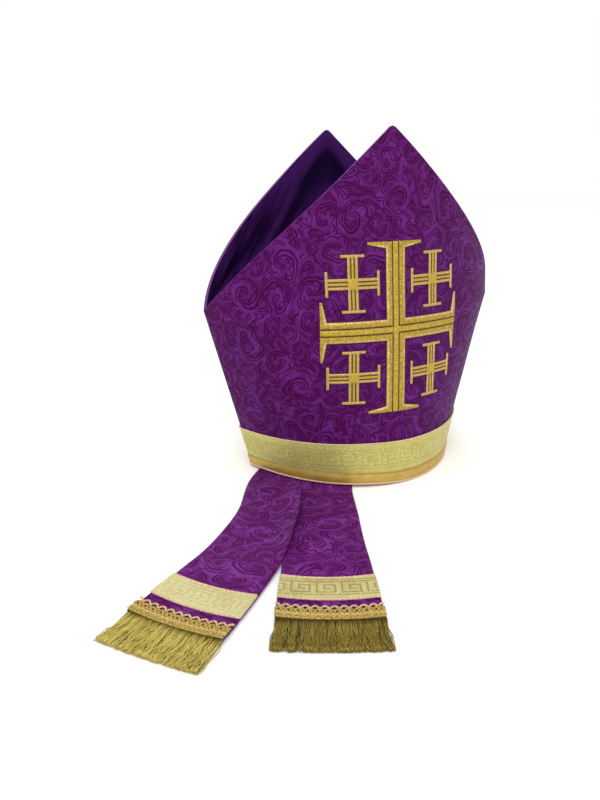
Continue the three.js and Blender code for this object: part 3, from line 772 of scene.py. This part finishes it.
def stitched_band(left, right, base, rise, edge_side, spacing=FINE):
    """Satin stitch between two edges on the front panel: (points, quads, cloth) of one domed, ridged band.
    edge_side says where the cloth's side coordinate reaches 1: at the right edge or at both."""
    s, a, b = resampled(left, right, spacing)
    columns = np.linspace(0, 1, 6)
    width = np.linalg.norm(b - a, axis=-1)[:, None]
    dome = (1 - np.abs(2 * columns - 1) ** 3) ** 0.5
    ends = np.sqrt(np.clip(np.minimum(s, s[-1] - s) / 0.9, 0.02, 1))[:, None]
    slant = 0.35 * width * columns
    ridge = (0.11 if spacing < THREAD else 0.0) * np.cos(TAU * (s[:, None] + slant) / THREAD)
    raised = base + (rise * np.minimum(width / 5, 1) ** 0.4 + ridge) * (0.25 + 0.75 * dome) * ends
    place = a[:, None] + (b - a)[:, None] * columns[:, None]
    top = on_front(place[..., 0], place[..., 1], raised)
    under = on_front(place[:, [0, -1], 0], place[:, [0, -1], 1], -0.25)
    ring = np.concatenate([top, under[:, ::-1]], axis=1)
    index, body = tube_quads(*ring.shape[:2])
    caps = []
    for row, way in ((index[0], -1), (index[-1], 1)):
        caps += [[row[k], row[k + 1], row[4 - k], row[5 - k]][::way] for k in (0, 1)]
        caps.append([row[0], row[5], row[6], row[7]][::way])
    side = {"right": columns, "both": np.abs(2 * columns - 1)}[edge_side]
    sides = np.concatenate([side, side[[-1, 0]]])
    cloth = np.stack(matched(s[:, None], sides), -1)
    points = ring.reshape(-1, 3)
    return points, outward(points, np.concatenate([body, caps])), cloth.reshape(-1, 2)


def embroidery(name, node, bands, material):
    """bands is a list of stitched_band results, joined in one piece."""
    points, quads, cloths, start = [], [], [], 0
    for band_points, band_quads, cloth in bands:
        points.append(band_points)
        quads.append(band_quads + start)
        cloths.append(cloth)
        start += len(band_points)
    joined = (np.concatenate(part) for part in (points, quads, cloths))
    piece = make_object(name, *joined, [material])
    return settle(piece, node)


def grown(edge, sign_u, sign_v, across):
    """A serif's edge moved inwards for the painted shadow under it. The cross's top and foot stay where they
    are.
    """
    if across:
        return [(u - OUTLINE * sign_u, v) for u, v in edge]
    at_end = min(abs(v - CROSS_HEIGHT) for _, v in edge) >= ARM_UP - 1
    return edge if at_end else [(u, v - OUTLINE * sign_v) for u, v in edge]


def strip(centre, along, aside, half, length, upright, base, rise, spacing=FINE):
    """A straight band of stitches, up or across, placed from a centre by its shift along and aside."""
    edges = []
    for edge in (aside - half, aside + half):
        ends = [(edge, along + end) if upright else (along + end, edge) for end in (-length, length)]
        edges.append([(centre[0] + u, centre[1] + v) for u, v in ends])
    return stitched_band(*edges, base, rise, "both", spacing)


def large_cross():
    middle = (0.0, CROSS_HEIGHT)
    upright = strip(middle, 0, 0, STRIP_HALF, ARM_UP, True, 0.15, 0.85)
    across = strip(middle, 0, 0, STRIP_HALF, ARM_ACROSS, False, 0.15, 1.15)
    embroidery("cross_strips", "cross_bars", [upright, across], YELLOW_THREAD)
    near = STRIP_HALF + GROOVE
    far = near + BORDER
    arms = ((ARM_UP, True), (ARM_ACROSS, False))
    shade = [strip(middle, 0, 0, far + OUTLINE, arm, up, 0.1, 0.12, COARSE) for arm, up in arms]
    outer = [
        (SERIF_HALF, ARM_UP),
        (near, ARM_UP),
        (near, near),
        (ARM_ACROSS, near),
        (ARM_ACROSS, SERIF_HALF),
    ]
    inner = [
        (SERIF_HALF, ARM_UP - SERIF_TIP),
        (far, ARM_UP - BORDER),
        (far, far),
        (ARM_ACROSS - BORDER, far),
        (ARM_ACROSS - SERIF_TIP, SERIF_HALF),
    ]
    for name, sign_u, sign_v in QUARTERS:
        corner = [[(sign_u * u, CROSS_HEIGHT + sign_v * v) for u, v in edge] for edge in (outer, inner)]
        for start in (0, 3):
            edges = [grown(edge[start : start + 2], sign_u, sign_v, start > 0) for edge in corner]
            shade.append(stitched_band(*edges, 0.08, 0.12, "both", COARSE))
        band = stitched_band(*corner, 0.1, 1.0, "right")
        embroidery(f"cross_border_{name}", f"cross_corner_{name}", [band], GOLD_THREAD)
    embroidery("cross_shade", [], shade, SHADE)


def small_cross(name, node, centre):
    """Three strands to an arm over a gold ground painted dark for the shade between them, a painted shadow
    round it all, a knot where the arms cross, and thin serifs.
    """
    ways = (True, False)
    tip = SMALL_ARM - 1.1
    ground = [strip(centre, 0, 0, 4.0, SMALL_ARM - 1, upright, 0.15, 0.15, COARSE) for upright in ways]
    embroidery(f"{name}_ground", node, ground, SHADED_GROUND_GOLD)
    shade = [strip(centre, 0, 0, 5.5, SMALL_ARM, upright, 0.06, 0.12, COARSE) for upright in ways]
    for upright in ways:
        shade += [strip(centre, 0, end, 2.0, 11.3, upright, 0.06, 0.12, COARSE) for end in (-tip, tip)]
    embroidery(f"{name}_shade", [], shade, SHADE)
    sides = (-3.4, 3.4)
    outer = [strip(centre, 0, side, 1.15, SMALL_ARM - 1, up, 0.1, 0.95) for up in ways for side in sides]
    serifs = [strip(centre, 0, end, 1.2, 10.5, up, 0.15, 1.2) for up in ways for end in (-tip, tip)]
    embroidery(f"{name}_outline", [], outer + serifs, ROSE_THREAD)
    core = [strip(centre, 0, 0, 1.1, SMALL_ARM - 2.2, up, 0.1, 0.9) for up in ways]
    knot = [strip(centre, 0, 0, 4.3, 4.3, True, 0.2, 1.0)]
    embroidery(f"{name}_core", [], core + knot, YELLOW_THREAD)


# ---- the lappets ------------------------------------------------------------------------------------

LEFT_ROUTE = [
    (-26.0, 73.5), (-25.0, 64.0), (-30.0, 46.0), (-45.0, 23.0), (-73.0, -9.0), (-102.0, -46.0),
    (-124.0, -92.0), (-139.0, -117.0), (-170.0, -156.0), (-203.0, -187.5), (-229.0, -210.5),
]
RIGHT_ROUTE = [
    (26.0, 73.5), (25.0, 64.0), (20.0, 46.0), (7.0, 22.0), (-26.0, -20.5), (-64.0, -74.0),
    (-88.0, -125.0), (-109.0, -170.0), (-126.5, -210.5), (-139.5, -240.5),
]
LAPPET_WIDTH, LAPPET_NECK, LAPPET_TAPER = 70.0, 40.0, 0.118
FRINGE_HALF, STRANDS = 36.0, 1150
HEADER_LENGTH, FRINGE_LENGTH = 14.5, 32.0
GALLOON_TOP, GALLOON_BOTTOM = -35.5, -9.5


def centripetal(route, steps=60):
    """A smooth curve through the route's points."""
    points = np.array(route, float)
    points = np.concatenate([[2 * points[0] - points[1]], points, [2 * points[-1] - points[-2]]])
    curve = []
    for i in range(len(points) - 3):
        p0, p1, p2, p3 = points[i : i + 4]
        d0, d1, d2 = (math.sqrt(np.linalg.norm(b - a)) for a, b in ((p0, p1), (p1, p2), (p2, p3)))
        start = ((p1 - p0) / d0 - (p2 - p0) / (d0 + d1) + (p2 - p1) / d1) * d1
        stop = ((p2 - p1) / d1 - (p3 - p1) / (d1 + d2) + (p3 - p2) / d2) * d1
        t = np.linspace(0, 1, steps, endpoint=False)[:, None]
        leaving = (p1 * (1 + 2 * t) + start * t) * (1 - t) ** 2
        curve.append(leaving + (p2 * (3 - 2 * t) + stop * (t - 1)) * t * t)
    return np.concatenate([*curve, points[-2:-1]])


class Lappet:
    def __init__(self, side, route, curled):
        self.side, self.curled = side, curled
        self.curve = centripetal(route)
        self.travelled = distances(self.curve)
        self.length = self.travelled[-1]
        self.heading_end = unit(self.curve[-1] - self.curve[-2])

    def on_route(self, s):
        inside = np.clip(s, 0, self.length)
        return np.stack([np.interp(inside, self.travelled, self.curve[:, k]) for k in (0, 1)], -1)

    def station(self, s):
        """The middle line's place and heading in plan at distances s, running straight on past its end."""
        past_end = s - np.clip(s, 0, self.length)
        place, ahead, behind = (self.on_route(distance) for distance in (s, s + 2, s - 2))
        heading = np.where((s < self.length)[..., None], unit(ahead - behind), self.heading_end)
        return place + self.heading_end * past_end[..., None], heading

    def beside(self, s, offset):
        """Points in plan at distances s, an offset to the left of the middle line."""
        place, heading = self.station(s)
        return place + np.stack([-heading[..., 1], heading[..., 0]], -1) * offset[..., None]

    def width(self, s):
        return np.maximum(LAPPET_WIDTH - LAPPET_TAPER * np.maximum(self.length - s, 0), LAPPET_NECK)

    def lift(self, s, u):
        """How far the underside stands off the table: the rolled edge and the cupping near the end."""
        cup = 1.6 * u**2 * smooth(s, self.length - 120, self.length - 40)
        ripple = 0.5 * (1 + np.sin(s / 17 + 2 * u + (2.0 if self.curled else 0.0))) * smooth(s, 165, 200)
        ripple = ripple * (1 - smooth(s, self.length - 60, self.length - 35))
        roll = np.clip((u - 0.05) / 0.95, 0, 1) ** 2
        curl = 10.5 * smooth(s, 140, 170) * (1 - smooth(s, 232, 290)) * roll if self.curled else 0.0
        return np.maximum(cup, 0) + ripple + curl

    def point(self, s, u, height, half_width=None):
        """Points at distance s and side share u, a height over the lappet's underside."""
        s, u, height = matched(s, u, height)
        half = self.width(s) / 2 if half_width is None else half_width
        plan = self.beside(s, u * half)
        return np.concatenate([plan, (height + self.lift(s, u))[..., None]], -1)

    def cloth_piece(self):
        """The brocade strip, from the tab against the rear wall to under the fringe heading."""
        u = np.linspace(-1, 1, 33)
        end = self.length + HEADER_LENGTH - 1
        s, across = np.meshgrid(np.linspace(6.0, end, 260), u, indexing="ij")
        pillow = 0.35 * (1 - across**6)
        face, back = self.point(s, across, 1.55 + pillow), self.point(s, across, 0.12)
        place, heading = self.station(np.zeros(1))
        aside = np.array([-heading[0, 1], heading[0, 0], 0.0])
        ahead = np.array([heading[0, 0], heading[0, 1], 0.0])
        tab = []
        slopes = np.radians([90, 90, 90, 75, 60, 45, 30, 15])
        rises = [15.0, 12.0, 9.0]
        for k, slope in enumerate(slopes):
            turned = 6.0 * (1 - math.cos(slope)) + 1.0
            foot = np.array([*place[0], 0.0]) + ahead * 6.0 * (1 - math.sin(slope))
            foot[2] = rises[k] if k < 3 else turned
            upper = ahead * math.sin(slope) + np.array([0, 0, math.cos(slope)])
            cupped = 2.6 * math.degrees(slope) / 90 * u**2
            row = foot + aside * (u * 20.0)[:, None] + upper * cupped[:, None]
            tab.append((row + upper * 0.9, row - upper * 0.9))
        face, back = (np.concatenate([np.array(part), grid]) for part, grid in zip(zip(*tab), (face, back)))
        rows = np.concatenate([np.array([-12.0, -9.0, -6.0, -3.5, -1.0, 1.5, 3.0, 4.5]), s[:, 0]])
        start = 1500.0 if self.curled else 1900.0
        cloth = np.stack(matched(start + across[0] * 24, rows[:, None]), -1)
        made = sheet(f"{self.side}_lappet_cloth", face, back, cloth, LIT_LAPPETS)
        return settle(made, f"{self.side}_lappet")

    def bow(self, u):
        """How far the trims bow towards the fringe in their middle."""
        return 1.6 * (1 - u**2)

    def band(self, name, node, start, stop, bottom, top, material, slot, half_extra=0.0, rows=40):
        s, u = np.meshgrid(np.linspace(start, stop, rows), np.linspace(-1, 1, 61), indexing="ij")
        s = self.length + s + self.bow(u)
        half = self.width(s) / 2 + half_extra
        crown = 0.15 * np.sin(np.linspace(0, math.pi, rows))[:, None]
        face = self.point(s, u, top + crown, half)
        back = self.point(s, u, bottom, half)
        cloth = np.stack([u * 35 + 9, s - self.length - (start + stop) / 2], -1)
        return settle(sheet(name, face, back, cloth, material), node)

    def cross_cord(self, name, at, height, radius, pitch, material, half=None, wave=None):
        """A twisted cord across the lappet, a distance from the route's end."""
        u = np.linspace(-1, 1, 300)
        s = self.length + at + self.bow(u)
        half_width = self.width(s) / 2 if half is None else half
        if wave is not None:
            s = s + wave(u * half_width)
        path = self.point(s, u, height, half_width)
        up = np.broadcast_to(np.array([0.0, 0.0, 1.0]), path.shape)
        strands = plied(path, up, radius * 0.5, pitch)
        piece = tubes(name, strands, np.broadcast_to(up, strands.shape), radius * 0.62, material)
        return settle(piece, [])

    def galloon(self):
        name = f"{self.side}_lappet_braid"
        node, slot = f"{self.side}_lappet_galloon", "pale_gold_braid"
        # The left lappet takes the braid painted lighter: painted light.
        material = LIT_BRAID if self.curled else LAPPET_BRAID
        self.band(name, node, GALLOON_TOP, GALLOON_BOTTOM, 1.95, 2.75, material, slot, 0.5)
        for label, at in (("upper", GALLOON_TOP), ("lower", GALLOON_BOTTOM)):
            self.cross_cord(f"{name}_{label}_selvedge", at, 2.6, 0.8, 2.2, ROSE_CORD)

    def header(self):
        """The gimp over the fringe: scalloped loops, two chained rows with eyelets and a close lower row."""
        name = f"{self.side}_fringe_gimp"
        node, slot = f"{self.side}_fringe_header", "old_gold_fringe"
        self.band(f"{name}_tape", node, 2.5, HEADER_LENGTH, 1.95, 2.9, SHADED_GROUND_GOLD, slot, 0.6, 16)
        pitch = 6.4

        def arcs(height, offset):
            return lambda x: -height * np.abs(np.sin(math.pi * (x + offset) / pitch))

        def chain(height, offset):
            return lambda x: height * np.sin(TAU * (x + offset) / pitch)

        rows = (
            ("scallops", 2.6, arcs(3.0, 0.0), 0.75, 3.6),
            ("eyelets_a", 5.6, chain(2.0, 0.0), 0.8, 3.9),
            ("eyelets_b", 5.6, chain(2.0, pitch / 2), 0.8, 3.5),
            ("middle", 9.0, None, 0.8, 3.7),
            ("lower_a", 11.0, chain(0.9, 0.0), 0.75, 3.9),
            ("lower_b", 11.0, chain(0.9, pitch / 2), 0.75, 3.5),
            ("foot", 13.4, None, 0.8, 3.8),
        )
        for label, at, wave, radius, height in rows:
            material = PALE_GIMP if label in ("scallops", "middle") else GIMP
            self.cross_cord(f"{name}_{label}", at, height, radius, 2.4, material, FRINGE_HALF, wave)

    def fringe(self, seed):
        draw = np.random.default_rng(seed)
        t = np.linspace(0, 1, 11)
        u0 = draw.uniform(-1, 1, STRANDS)
        layer = draw.uniform(0, 1, STRANDS)
        stray = draw.uniform(0, 1, STRANDS) < 0.12
        drift = draw.normal(0, 1.4, STRANDS) * np.where(stray, 4.0, 1.0) + 1.4 * u0
        length = FRINGE_LENGTH - (1.0 if self.curled else 2.5) - np.abs(draw.normal(0, 1.3, STRANDS))
        wave = draw.uniform(0.3, 1.3, (STRANDS, 1))
        phase = draw.uniform(0, TAU, (STRANDS, 1))
        tuft = 1.6 * np.sin(u0 * 11 + 1.0) + 1.1 * np.sin(u0 * 23)
        clump = draw.normal(0, 1.5, 32)[((u0 + 1) * 15.9).astype(int)]
        sway = wave * np.sin(t * 12 + phase) * t**0.7
        x = u0[:, None] * FRINGE_HALF + (drift + tuft + clump)[:, None] * t**1.5 + sway
        x = np.clip(x, -38.5, 38.5)
        s = self.length + HEADER_LENGTH - 1.0 + self.bow(u0)[:, None] + length[:, None] * t
        plan = self.beside(s, x)
        drop = smooth(t, 0.0, 0.55)
        height = lerp(1.0 + 3.0 * layer[:, None], 0.45 + 2.5 * layer[:, None] ** 1.5, drop)
        height = height + 0.3 * np.sin(t * 7 + u0[:, None] * 40)
        path = np.concatenate([plan, np.maximum(height, 0.42)[..., None]], -1)
        up = np.broadcast_to(np.array([0.0, 0.0, 1.0]), path.shape)
        radii = lerp(0.36, 0.22, t)[None] * np.ones((STRANDS, 1))
        # Each strand's tone is partly random and partly painted shade: strands lower in the pile are darker.
        tone = np.clip(0.45 * layer + draw.uniform(-0.1, 0.75, STRANDS), 0, 1)
        # The left fringe takes the gold painted lighter, the right one the gold painted darker: painted light
        # and shade.
        material = LIT_FRINGE if self.curled else SHADED_FRINGE
        piece = tubes(f"{self.side}_fringe_strands", path, up, radii, material, sides=4, tone=tone)
        return settle(piece, f"{self.side}_fringe")

    def build(self, seed):
        cloth = self.cloth_piece()
        self.galloon()
        self.header()
        self.fringe(seed)


# ---- stage ------------------------------------------------------------------------------------------


def camera():
    data = bpy.data.cameras.new("camera")
    data.lens = 32.37
    data.sensor_width = 36.0
    made = bpy.data.objects.new("camera", data)
    made.location = Vector((-320.09, -605.32, 286.51)) * MM
    heading, pitch = math.radians(23.57), math.radians(18.90)
    level = math.cos(pitch)
    forward = Vector((math.sin(heading) * level, math.cos(heading) * level, -math.sin(pitch)))
    made.rotation_euler = forward.to_track_quat("-Z", "Y").to_euler()
    bpy.context.scene.collection.objects.link(made)
    bpy.context.scene.camera = made


def floor():
    half = 4000.0
    corners = [(-half, -half, -0.02), (half, -half, -0.02), (half, half, -0.02), (-half, half, -0.02)]
    finish = Finish("pale_floor", Base_Color=(0.97, 0.97, 0.97, 1.0), Roughness=1.0, Specular_IOR_Level=0.0)
    plane = make_object("floor", corners, [[0, 1, 2, 3]], [(0, 0)] * 4, [finish.done()])


def lamp(name, place, size, power):
    data = bpy.data.lights.new(name, "AREA")
    data.size = size
    data.energy = power
    made = bpy.data.objects.new(name, data)
    made.location = place
    aim = Vector((-0.05, -0.05, 0.12)) - Vector(place)
    made.rotation_euler = aim.to_track_quat("-Z", "Y").to_euler()
    bpy.context.scene.collection.objects.link(made)


def lights():
    lamp("key", (-0.9, -1.5, 1.9), 1.2, 20.0)
    lamp("fill", (1.6, -1.3, 1.0), 1.6, 1.5)
    lamp("top", (0.0, 0.3, 2.2), 1.6, 8.0)
    world = bpy.data.worlds.new("studio")
    world.use_nodes = True
    background = world.node_tree.nodes["Background"]
    background.inputs["Color"].default_value = (1.0, 1.0, 0.99, 1.0)
    background.inputs["Strength"].default_value = 1.0
    bpy.context.scene.world = world


# ---- making it all ----------------------------------------------------------------------------------

camera()
floor()
lights()
bpy.context.scene.view_settings.view_transform = "Standard"

panel("front_brocade", "front_panel", False)
panel("rear_brocade", "rear_panel", True)
crease_seams()
horn_lining()
rim()
large_cross()
for quarter, sign_u, sign_v in QUARTERS:
    node = f"small_cross_{quarter}"
    centre = (sign_u * SMALL_ACROSS, CROSS_HEIGHT + sign_v * SMALL_UP)
    small_cross(f"stitched_{node}", node, centre)
Lappet("left", LEFT_ROUTE, True).build(FRINGE_SEED + 1)
Lappet("right", RIGHT_ROUTE, False).build(FRINGE_SEED + 2)
